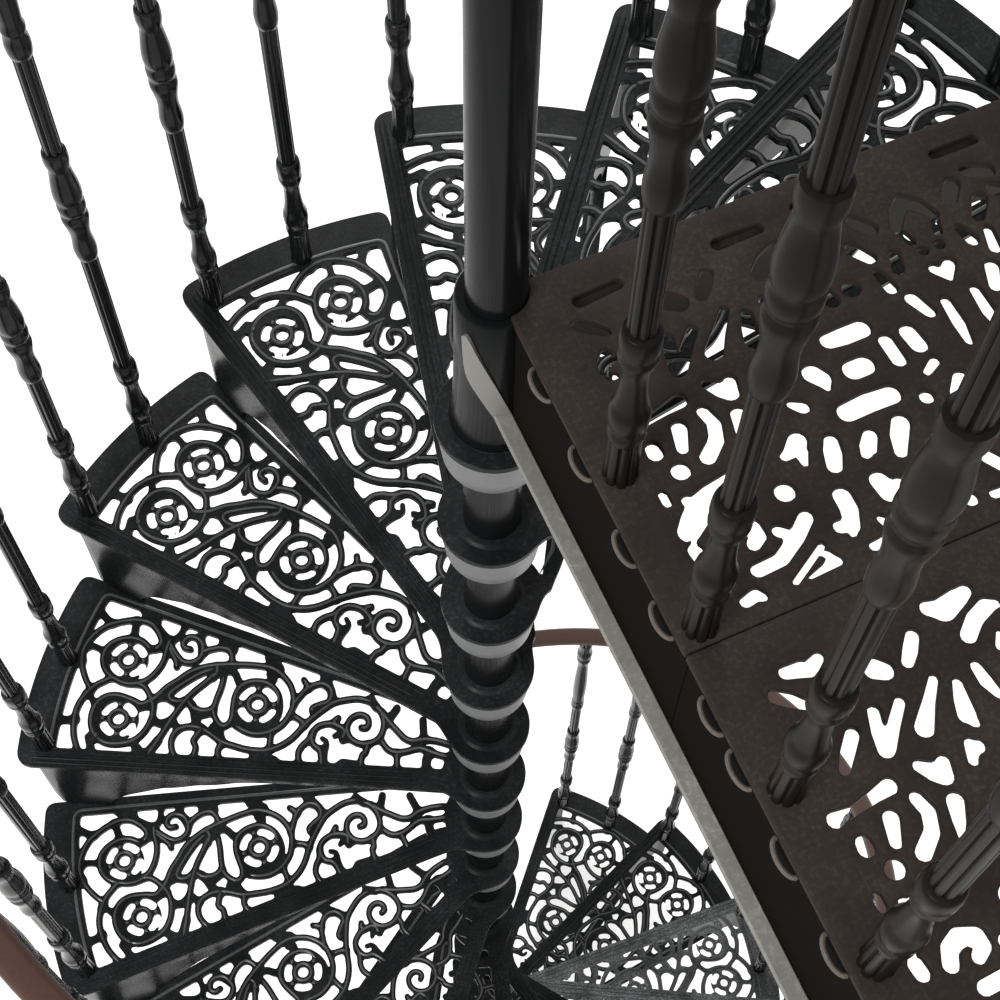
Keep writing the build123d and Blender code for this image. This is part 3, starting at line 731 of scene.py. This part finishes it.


# Hub sides: under every tread the hub of the same casting shows as a nearly upright band that draws in
# a little downwards and turns in sharply to the sleeve. Its pale grey paint is a painted reflection of the
# bright floor below.
hub_reflection_paint = painted_iron("hub_reflection_paint", (0.12, 0.123, 0.123), (0.30, 0.305, 0.30),
                         dust=0.5, gloss=0.32, grain=0.5, ior=1.5)
hub_side = ((pole_bore, -hub_depth), (39.5, -hub_depth), (42.2, -hub_depth + 1.2), (43.2, -hub_depth + 3.2),
            (44.6, -hub_depth + 18), (46.4, -hub_depth + 36), (47.6, -plate_thickness - 5),
            (48.0, -plate_thickness + 0.5))
hub_bands = Shape()
for level in range(1, tread_count + 1):
    add_round(hub_bands, hub_side, 56, (0, 0, level * riser))
add_piece("hub_bands", hub_bands, (hub_reflection_paint,))


# Landing panels: two like castings of painted iron side by side, pierced on both sides of the middle in
# one pattern. Each is a flat plate whose openings are soft-edged blobs, with a plain border along the
# open side and raised lines beside it.
landing_width = 606.0
panel_length = 303.0
landing_plate = 7.0
panel_gap = 0.6
# Openings of one half, each a chain of discs that run into each other: the place of each disc from the
# panel's front left corner, and its radius.
panel_openings = (
    ((41, -49, 5), (49, -55, 5.5), (57, -62, 4)), ((50, -77, 4), (45, -84, 5), (42, -90, 3.5)),
    ((48, -84, 4), (55, -83, 4)), ((44, -96, 3), (48, -96, 3)), ((47, -158, 5.5), (47, -162, 6)),
    ((71, -151, 6), (66, -166, 4.5)), ((57, -181, 7), (57.5, -181, 7)),
    ((92, -146, 5), (95, -157, 5.5), (91, -169, 5.5), (79, -179, 6)), ((38, -192, 3.5), (38, -199, 3.5)),
    ((42, -224, 8), (50, -217, 9.5), (58, -207, 7.5), (68, -201, 4.5), (80, -197.5, 2.8), (90, -195, 1.8)),
    ((52, -203, 5), (56, -207, 6)), ((40, -238, 5.5), (41, -245, 5.5)),
    ((72, -268, 5.5), (90, -267, 5.5), (107, -257, 5.5), (120, -246, 5.5)),
    ((98, -248, 5), (107, -256, 5)),
    ((60, -247, 6), (64, -238, 6), (73, -234, 6.5), (83, -238, 6.5), (84, -245, 6), (78, -250, 5)),
    ((54, -285, 4.5), (63, -283, 5), (66, -286, 4)), ((124, -283, 4.5), (112, -285, 3), (101, -287, 1.5)),
    ((120, -276, 4), (123, -282, 4)), ((120, -269, 2.5), (91, -286, 2.5)),
    ((115, -224, 7.5), (115.5, -224, 7.5)),
    ((104, -128, 4.5), (111, -135, 7), (116, -140, 7), (120, -132, 5)), ((142, -129, 5), (138, -139, 4)),
    ((146, -132, 5), (141, -132, 5)), ((114, -158, 6.5), (110, -170, 5), (106, -180, 2.5)),
    ((110, -58, 8), (115, -62, 7)), ((144, -48, 5), (138, -56, 5.5), (132, -63, 4.5)),
    ((142, -80, 3.5), (132, -92, 4.5), (120, -107, 7)),
    ((155, -89, 4), (152, -100, 6), (150, -110, 7), (152, -117, 4)),
    ((172, -84, 4.5), (173, -95, 5.5), (176, -106, 4)),
    ((178, -63, 6), (188, -54, 6), (200, -49, 6), (206, -50, 4)), ((198, -70, 3), (194, -78, 4)),
    ((75, -92, 5), (66, -102, 5), (59, -111, 4)), ((95, -84, 4.5), (91, -98, 5), (90, -110, 6)),
    ((114, -85, 4), (103, -97, 4.5), (93, -109, 5)),
    ((80, -132, 6), (68, -134, 4.5), (52, -137, 3.5), (38, -137.5, 6)),
    ((176, -150, 8), (180, -156, 7.5), (180, -164, 3.5)), ((151, -166, 4), (157, -171, 5.5)),
    ((204, -159, 8.5), (212, -159, 8.5)), ((199, -131.5, 7), (210, -132, 8), (224, -132, 8)),
    ((184, -187, 8), (201, -186, 8.5), (218, -187, 8)),
    ((163, -202, 5.5), (160, -210, 7), (156, -220, 6)),
    ((190, -209, 5.5), (184, -217, 6.5), (180, -221, 4)),
    ((214, -209, 7), (208, -218, 7), (203, -229, 5)), ((142, -192, 7), (135, -198, 6), (128, -200, 4)),
    ((140, -200, 6), (138, -210, 3)), ((150, -242, 7), (150, -252, 7), (146, -264, 6), (143, -270, 3)),
    ((138, -262, 5.5), (146, -263, 5.5)), ((179, -242, 7.5), (182, -252, 9), (188, -260, 5.5)),
    ((190, -250, 6), (184, -252, 6)), ((166, -268, 3.5), (171, -277, 5), (163, -283, 4), (152, -284, 4)),
    ((229, -280, 5.5), (229.5, -280, 5.5)), ((222, -243, 5), (216, -243, 3)),
    ((233, -101, 7), (233.5, -101, 7)), ((257, -97, 4), (260, -112, 5)), ((236, -148, 6), (237, -165, 6)),
    ((254, -148, 7), (256, -160, 7)), ((240, -199, 5.5), (240.5, -199, 5.5)),
    ((250, -182, 3), (260, -176, 4)), ((291, -137, 4.5), (291, -156, 5.5), (290, -172, 3.5)),
    ((296, -94, 4), (296.5, -94, 4)), ((297, -110, 5), (305, -120, 5)),
    ((287, -70, 4), (294, -58, 6), (303, -50, 6)), ((290, -76, 3.5), (292, -84, 3.5)),
    ((240, -222, 6), (246, -236, 6)), ((262, -205, 6), (270, -195, 6)), ((262, -228, 7), (272, -222, 6)),
    ((285, -200, 5), (288, -214, 6)), ((256, -256, 6), (264, -268, 6)), ((284, -236, 7), (286, -250, 7)),
    ((246, -283, 4), (262, -284, 4)), ((282, -270, 6), (290, -281, 5)), ((303, -232, 6), (303, -262, 5)),
    ((232, -52, 6), (246, -46, 6)), ((262, -52, 6), (270, -62, 6)), ((225, -75, 5), (236, -68, 6)),
    ((250, -72, 6), (258, -84, 5)), ((276, -88, 4), (272, -100, 5)), ((212, -88, 6), (216, -104, 6)),
    ((270, -125, 6), (276, -140, 5)),
)
# What each panel has of its own: openings behind the front border, slots over the front bearer on the
# first panel and larger ones on the second; and raised lines, by their ends, half width and height.
own_features = (
    (
        (((50, -32, 5), (82, -30, 4)), ((162, -29, 5), (196, -29, 4)), ((228, -24, 4), (262, -24, 4))),
        (((1.6, -26), (1.6, -301), 1.5, 1.1), ((30, -1.6), (604, -1.6), 1.4, 1.1),
         ((35.6, -16), (35.6, -286), 1.3, 1.1), ((570.4, -16), (570.4, -286), 1.3, 1.1)),
    ),
    (
        (((55, -37, 5), (66, -39, 6.5), (70, -41, 6), (80, -36, 4)),
         ((163, -35, 6), (172, -40, 9), (185, -36, 7), (192, -34, 5)), ((228, -26, 4), (262, -26, 4))),
        (((1.6, -2), (1.6, -291), 1.5, 1.1), ((6, -4.2), (600, -4.2), 1.2, 1.0),
         ((35.6, -18), (35.6, -290), 1.3, 1.1), ((570.4, -18), (570.4, -290), 1.3, 1.1)),
    ),
)


def panel_field(openings, bored):
    """Signed distance in plan of a panel, below zero in the iron: its rectangle, less the openings of one
    half and their mirror images, and less the bore round the pole on the first panel."""
    def field(points):
        """The greatest of the rectangle's, the bore's and each opening's own distance, the last only
        worked out near the opening."""
        margin = 3
        x, y = points.T
        folded = np.column_stack([np.minimum(x, landing_width - x), y])
        iron = np.maximum(np.maximum(-x, x - landing_width),
                          np.maximum(y + panel_gap / 2, panel_gap / 2 - panel_length - y))
        if bored:
            iron = np.maximum(iron, pole_bore - np.hypot(x, y))
        for chain in openings:
            low = np.min([(a - r, b - r) for a, b, r in chain], axis=0) - margin
            high = np.max([(a + r, b + r) for a, b, r in chain], axis=0) + margin
            near = ((folded > low) & (folded < high)).all(axis=1)
            iron[near] = np.maximum(iron[near], -chain_distance(folded[near], chain))
        return iron

    return field


panel_arris = ((0, 1.3), (-0.5, 0.5), (-1.4, 0), (-landing_plate, 0))
panel_step = 2.5
half_step = panel_step / 2
panel_columns = np.linspace(-half_step, landing_width + half_step, int(landing_width / panel_step) + 2)
panel_rows = np.linspace(-panel_length - half_step, half_step, int(panel_length / panel_step) + 2)
landing_paint = painted_iron("landing_paint", (0.020, 0.0155, 0.0135), (0.065, 0.054, 0.047),
                             dust=0.45, gloss=0.42, grain=0.3, ior=1.12)
# Paler paint on the panels' raised edge lines is a painted highlight; the half rings under the side plate
# take the same paint.
edge_highlight_paint = painted_iron("edge_highlight_paint", (0.085, 0.07, 0.06), (0.20, 0.18, 0.16),
                            dust=0.5, gloss=0.45, grain=0.3, ior=1.25)
for number, (own_openings, lines) in enumerate(own_features, 1):
    field = panel_field(panel_openings + own_openings, number == 1)
    points, joins, outward, triangles = cast_plate(field, panel_columns, panel_rows)
    panel = Shape()
    walls_points, walls = plate_walls(points, joins, outward, panel_arris)
    panel.add(walls_points, [walls, triangles, triangles[:, ::-1] + (len(panel_arris) - 1) * len(points)])
    for start, end, half_width, height in lines:
        add_bead(panel, [start, end], half_width, height)
    add_piece("landing_plate_%d" % number, panel, (landing_paint, edge_highlight_paint),
              place=(0, -(number - 1) * panel_length, landing_height),
              stands_for=("landing_panel_%d" % number,))


# Landing edges: a deep upright plate of painted iron under each side. The one on the open side is in two
# lengths, has a paler worn flange along its foot, and a row of small half rings under the plate.
fascia_depth = 132.0
fascia_thickness = 7.0
top, foot = -landing_plate, -landing_plate - fascia_depth
landing_length = 2 * panel_length
front_ledge = 42.0
collar_reach = 34.0
front_start = 42.0
fascia_seam = 308.0
seam_half_gap = 0.5
plate_bevel = 0.8
ledge_bevel = 0.6
along_x, along_y = 0, 1


def add_tube(shape, rings, coat=0):
    """A closed skin through rings of points, with flat ends, turned outwards by the sign of the volume
    that its faces enclose."""
    rings = np.asarray(rings, float)
    rows, count = rings.shape[:2]
    ends = np.arange(count)
    faces = [grid_faces(rows, count, wrap_columns=True), ends[None, ::-1], (rows - 1) * count + ends[None]]
    flat = rings.reshape(-1, 3)
    volume = 0.0
    for part in faces:
        corners = flat[part]
        for k in range(1, part.shape[1] - 1):
            volume += (corners[:, 0] * np.cross(corners[:, k], corners[:, k + 1])).sum()
    shape.add(flat, [part if volume > 0 else part[:, ::-1] for part in faces], coat)


def carried(outline, axis, start, end):
    """An outline, given by its place across and its height, carried along X or Y between two places."""
    rings = np.empty((2, len(outline), 3))
    rings[..., axis] = ((start,), (end,))
    rings[..., 1 - axis] = outline[:, 0]
    rings[..., 2] = outline[:, 1]
    return rings


def add_bar(shape, axis, sides, heights, ends, bevel):
    """A straight bar along X or Y between two sides, two heights and two ends. Each corner of its section
    is cut off by the bevel's length along both sides of it."""
    (left, right), (low, high) = sides, heights
    outline = np.array([
        (left + bevel, low), (right - bevel, low), (right, low + bevel), (right, high - bevel),
        (right - bevel, high), (left + bevel, high), (left, high - bevel), (left, low + bevel),
    ])
    add_tube(shape, carried(outline, axis, *ends))


fascia_paint = painted_iron("fascia_paint", (0.006, 0.005, 0.0045), (0.03, 0.026, 0.024),
                            dust=0.3, gloss=0.6, grain=0.3, ior=1.03)
side_plate = Shape()
for ends in ((-collar_reach, seam_half_gap - fascia_seam), (-fascia_seam - seam_half_gap, -landing_length)):
    add_bar(side_plate, along_y, (0, fascia_thickness), (foot, top), ends, plate_bevel)
add_piece("landing_side_plate", side_plate, (fascia_paint,), place=landing_place,
          stands_for=("landing_side_fascia",))

# The trim on that plate stands out pale: the flange, half rings that stand out level under the plate's
# edge, and a gusset that runs from the flange up across the collar. The gusset's two edges are given by
# azimuth and height on the collar.
flange_out = 14.0
flange_thickness = 7.0
flange_start = -28.0
flange_clear = 0.3
flange_bevel = 1.0
ring_places = (78, 145, 215, 272, 345, 385, 448, 515, 575)
ring_half_length = 14.0
ring_reach = 6.5
ring_wire = 1.9
ring_drop = 3.0
ring_sunk_angle = 0.15
gusset_left = smooth_curve([(197, -28), (203, -77), (226, -108), (247, -138.5)], 6)
gusset_right = smooth_curve([(204.5, -22), (216, -34), (244, -80), (268, -132)], 6)
gusset_inner, gusset_outer = 30.0, 33.6
trim = Shape()
add_bar(trim, along_y, (-flange_out, -flange_clear), (foot, foot + flange_thickness),
        (flange_start, -landing_length), flange_bevel)
half_turn = np.linspace(-ring_sunk_angle, pi + ring_sunk_angle, 15)
middle = np.column_stack([-ring_reach * np.sin(half_turn), ring_half_length * np.cos(half_turn),
                          np.full(15, top - ring_drop)])
out = np.column_stack([-ring_half_length * np.sin(half_turn), ring_reach * np.cos(half_turn), 0 * half_turn])
out /= np.linalg.norm(out, axis=1)[:, None]
wire = full_turn(8)[None, :, None]
half_ring = middle[:, None] + ring_wire * (np.cos(wire) * out[:, None] + np.sin(wire) * np.array([0, 0, 1.0]))
for along in ring_places:
    add_tube(trim, half_ring - (0, along, 0), coat=1)
gusset = []
for share, radius in ((0, gusset_inner), (0, gusset_outer), (0.5, gusset_outer), (1, gusset_outer),
                      (1, gusset_inner)):
    azimuths, heights = (gusset_left + share * (gusset_right - gusset_left)).T
    azimuths = np.radians(azimuths)
    gusset.append(np.column_stack([radius * np.cos(azimuths), radius * np.sin(azimuths), heights]))
add_tube(trim, np.stack(gusset, axis=1))
flange_paint = painted_iron("flange_paint", (0.17, 0.165, 0.15), (0.33, 0.32, 0.29),
                            dust=0.7, gloss=0.5, grain=0.3, ior=1.3)
add_piece("landing_side_trim", trim, (flange_paint, edge_highlight_paint), place=landing_place)

front_plate = Shape()
front_ends = (front_start, landing_width)
add_bar(front_plate, along_x, (-fascia_thickness, 0), (foot, top), front_ends, plate_bevel)
add_bar(front_plate, along_x, (-front_ledge, -fascia_thickness), (top - fascia_thickness, top),
        front_ends, ledge_bevel)
add_piece("landing_front_plate", front_plate, (landing_paint,), place=landing_place,
          stands_for=("landing_front_fascia",))

wall_plates = Shape()
inner_back = fascia_thickness - landing_length
add_bar(wall_plates, along_x, (-landing_length, inner_back), (foot, top), (fascia_thickness, landing_width),
        plate_bevel)
add_bar(wall_plates, along_y, (landing_width - fascia_thickness, landing_width), (foot, top),
        (-front_ledge, inner_back), plate_bevel)
add_piece("landing_wall_plates", wall_plates, (landing_paint,), place=landing_place,
          stands_for=("landing_back_bearer", "landing_wall_bearer"))


# Pole: a round iron tube from the floor to the landing's rail, painted black, with a foot bolted to the
# floor, a plain sleeve under every hub, a collar under the landing and a ball cap on top.
pole_radius = 23.0
sleeve_radius = 26.0
sleeve_arris = 0.8
boss_height = 3.0
foot_height = 64.0
rail_top = 1057.0
pole_top = landing_height + rail_top
# Flat ends are closed but for a hole of this radius, too small to see.
pin_hole = 0.5
sleeve_iron = painted_iron("sleeve_iron", (0.004, 0.0043, 0.0046), (0.06, 0.063, 0.066),
                           dust=0.1, gloss=0.2, grain=0.1, ior=1.15)
tube = Shape()
add_round(tube, ((pin_hole, 0), (pole_radius, 0), (pole_radius, pole_top), (pin_hole, pole_top)), 56)
add_piece("pole_tube", tube, (sleeve_iron,), stands_for=("centre_pole",))

sleeves = Shape()
for level in range(1, landing_level):
    low = foot_height if level == 1 else (level - 1) * riser + boss_height
    high = level * riser - hub_depth
    end_radius = sleeve_radius - sleeve_arris
    add_round(sleeves, ((pole_bore, low), (end_radius, low), (sleeve_radius, low + sleeve_arris),
                        (sleeve_radius, high - sleeve_arris), (end_radius, high), (pole_bore, high)), 56)
add_piece("sleeves", sleeves, (sleeve_iron,), stands_for=("spacer_sleeves",))

foot_profile = ((pole_bore, 0.2), (110, 0.2), (110, 11), (107, 14), (60, 15), (52, 19), (49, 26), (49, 58),
                (46, 62), (40, foot_height), (pole_bore, foot_height))
bolt_profile = ((pin_hole, -2), (9.5, -2), (9.5, 7.5), (7.5, 9.5), (pin_hole, 9.5))
bolt_circle = 85.0
flange_top = 14.0
floor_foot = Shape()
add_round(floor_foot, foot_profile, 64)
for around in np.radians([45, 135, 225, 315]):
    add_round(floor_foot, bolt_profile, 6, (bolt_circle * cos(around), bolt_circle * sin(around), flange_top))
add_piece("pole_foot", floor_foot, (tread_iron,), stands_for=("floor_flange",))

collar_profile = ((pole_bore, -192), (35.5, -192), (36.5, -189), (35.0, -178), (33.0, -150), (31.5, -80),
                  (31.0, -6), (30.0, -4.2), (28.5, -3.8), (pole_bore, -3.8))
collar = Shape()
add_round(collar, collar_profile, 56)
add_piece("collar", collar, (sleeve_iron,), place=landing_place,
          stands_for=("landing_collar",))

cap_radius = 30.0
ball = np.radians(np.linspace(0, 88, 14))
cap_profile = np.vstack([[(pin_hole, 0), (cap_radius - 1, 0)],
                         cap_radius * np.column_stack([np.cos(ball), np.sin(ball)])])
cap = Shape()
add_round(cap, cap_profile, 48)
add_piece("ball_cap", cap, (tread_iron,), place=(0, 0, pole_top), stands_for=("pole_cap",))


# Balusters: two iron castings on each tread, one at the nosing and one a little behind it. Each has an
# eight-lobed foot, two rings, a neck and a cup, then a ribbed shaft with a vase halfway and another
# under the rail. The one behind has a longer shaft between foot and vase, because the rail climbs.
foot_circle = 555.0
front_baluster_angle = 0.6
back_baluster_angle = 12.5
rail_underside = 1035.0
rail_slope = riser / radians(step_angle)
rib_count = 8
rib_depth = 0.2
flute_sharpness = 2.2
shaft_radius = 9.7
neck_radius = 11.4
# Each turned form is given by radius and height. The foot is lobed up to this height, and the vase and
# the head start this far below the rail's underside.
lobed_height = 58
vase_drop = 702.0
head_drop = 367.0
foot_form = (
    (0.5, 0), (12.6, 0), (12.6, 3), (11.9, 5), (11.6, 40), (11.6, 58), (12.6, 60.5), (13.3, 65),
    (13.0, 70), (12.0, 73), (12.3, 76), (13.6, 79), (14.2, 86), (14.3, 93), (13.6, 99), (12.2, 103),
    (11.3, 108), (10.0, 120), (9.1, 136), (9.2, 146), (10.0, 153), (11.4, 158), (13.0, 165), (13.4, 169),
    (12.5, 172.5), (12.7, 174.5), (13.6, 179), (13.7, 188), (13.1, 195), (12.2, 197.5), (11.0, 198.6),
    (7.4, 199.0),
)
vase_form = (
    (7.4, 0), (9.6, 0.2), (10.6, 1.5), (11.8, 8), (12.4, 18), (11.8, 27), (10.7, 38), (10.9, 50),
    (12.6, 62), (14.3, 73), (14.2, 79), (12.6, 82.5), (12.4, 86), (14.1, 88.5), (14.8, 95), (14.4, 102),
    (13.2, 105.5), (13.9, 108), (15.0, 114), (15.0, 122), (14.0, 135), (12.2, 149), (11.1, 160),
    (11.4, 165), (12.8, 172), (13.0, 181), (12.3, 187), (11.0, 188.2), (7.4, 188.6),
)
head_form = (
    (7.4, 0), (9.6, 0.2), (10.8, 1.5), (12.0, 8), (12.5, 17), (11.9, 25), (10.4, 32), (11.6, 36),
    (12.0, 41), (10.6, 46), (10.9, 52), (12.0, 80), (12.6, 115), (12.0, 160), (10.6, 205), (9.7, 240),
    (10.0, 256), (11.8, 262), (13.2, 269), (13.2, 276), (11.9, 281), (12.1, 285), (13.7, 291),
    (14.0, 300), (13.2, 309), (11.6, 314), (11.2, 322), (11.8, 345), (8.8, 346),
)


def ribs(azimuth):
    """Half-round ribs with narrow flutes between: one, less a power of one minus a rectified wave."""
    return 1 - rib_depth * (1 - np.abs(np.sin(azimuth * rib_count / 2))) ** flute_sharpness


def add_baluster(shape, place, azimuth, height):
    """One baluster of a given height: turned forms above each other, ribbed bars between them, each
    sunk a little in the next."""
    turned = azimuth + full_turn(28)
    ribbed = azimuth + full_turn(rib_count * 6)
    vase, head = height - vase_drop, height - head_drop
    foot_top = foot_form[-1][1]
    vase_top = vase + vase_form[-1][1]
    neck = head + head_form[-1][1]
    stretches = (
        ([(r, z) for r, z in foot_form if z <= lobed_height], ribbed, ribs),
        ([(9.0, 57.5)] + [(r, z) for r, z in foot_form if z > lobed_height], turned, None),
        ([(r, vase + z) for r, z in vase_form], turned, None),
        ([(r, head + z) for r, z in head_form], turned, None),
        (((shaft_radius, foot_top - 1), (shaft_radius, vase + 2)), ribbed, ribs),
        (((shaft_radius, vase_top - 1), (shaft_radius, head + 2)), ribbed, ribs),
        (((neck_radius, neck - 1), (neck_radius, height), (pin_hole, height)), ribbed, ribs),
    )
    for profile, azimuths, flute in stretches:
        shape.add_grid(revolved(profile, azimuths, flute) + np.asarray(place, float), wrap_columns=True)


baluster_iron = painted_iron("baluster_iron", (0.006, 0.0065, 0.007), (0.10, 0.104, 0.108),
                             dust=0.14, gloss=0.2, grain=0.2, ior=1.27)
brown_iron = painted_iron("brown_iron", (0.007, 0.006, 0.0055), (0.05, 0.045, 0.042),
                          dust=0.15, gloss=0.3, grain=0.2, ior=1.12)
for group in range(1, tread_count // 2 + 1):
    lower = 2 * group - 1
    castings = Shape()
    for level in (lower, lower + 1):
        for angle in (front_baluster_angle, back_baluster_angle):
            azimuth = radians(lower - level) * step_angle - radians(angle)
            foot_place = (foot_circle * cos(azimuth), foot_circle * sin(azimuth), (level - lower) * riser)
            add_baluster(castings, foot_place, azimuth, rail_underside + radians(angle) * rail_slope)
    add_piece("baluster_castings_%02d" % group, castings, (baluster_iron,), level_turn(lower),
              (0, 0, lower * riser), ("balusters_%02d" % group,))

landing_baluster_places = (166, 288, 410, 530)
landing_baluster_inset = 18.0
castings = Shape()
for along in landing_baluster_places:
    add_baluster(castings, (landing_baluster_inset, -along, 0), radians(-90), rail_underside)
add_piece("landing_baluster_castings", castings, (brown_iron,), place=landing_place,
          stands_for=("landing_balusters",))


# Handrail: a flat rail of oiled brown wood with rounded edges, which rests on the heads of the balusters
# and climbs with the treads. Along the landing it is level.
rail_width = 32.0
rail_depth = 22.0
rail_round = 8.0
rail_run_on = radians(13)
rail_end = radians(-0.6)
rounding = np.radians([-90, -60, -30, 0, 30, 60, 90])
rail_edge = np.column_stack([rail_width / 2 - rail_round + rail_round * np.cos(rounding),
                             rail_depth / 2 + rail_depth / 2 * np.sin(rounding)])
rail_section = np.vstack([rail_edge, rail_edge[::-1] * (-1, 1)])
azimuths = np.linspace(level_turn(1) + rail_run_on, rail_end, 200)[:, None]
heights = landing_height + rail_underside - azimuths * rail_slope
rail_radius = foot_circle + rail_section[:, 0]
rail_rings = [rail_radius * np.cos(azimuths), rail_radius * np.sin(azimuths), heights + rail_section[:, 1]]
stair_rail = Shape()
add_tube(stair_rail, np.stack(rail_rings, axis=-1))
level_rail = Shape()
add_tube(level_rail, carried(rail_section + (landing_baluster_inset, rail_underside), along_y,
                             -pole_radius - seam_half_gap, -landing_length))


def oiled_wood(name, pale, dark):
    """Brown oiled wood: two browns mixed by a fine noise, which is drawn out upwards."""
    material, node = node_material(name)
    place = node("ShaderNodeTexCoord").outputs["Object"]
    stretch = node("ShaderNodeMapping", Vector=place, Scale=(60, 60, 8)).outputs[0]
    texture = node("ShaderNodeTexNoise", Vector=stretch, Scale=3.0, Detail=6.0, Roughness=0.65,
                   Distortion=0.4)
    grain = texture.outputs[0]
    tone = node("ShaderNodeMix", data_type="RGBA", Factor=grain, A=(*dark, 1), B=(*pale, 1))
    bump = node("ShaderNodeBump", Strength=0.15, Distance=0.0004, Height=grain)
    shader = node("ShaderNodeBsdfPrincipled", Roughness=0.4, IOR=1.3, Normal=bump.outputs[0],
                  **{"Base Color": tone.outputs["Result"]})
    node("ShaderNodeOutputMaterial", shader.outputs[0])
    return material


rail_wood = oiled_wood("rail_wood", (0.085, 0.040, 0.030), (0.045, 0.022, 0.017))
rail_nodes = [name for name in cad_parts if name.startswith("handrail_")]
add_piece("handrail", stair_rail, (rail_wood,), stands_for=rail_nodes)
add_piece("landing_rail", level_rail, (rail_wood,), place=landing_place,
          stands_for=("landing_handrail",))
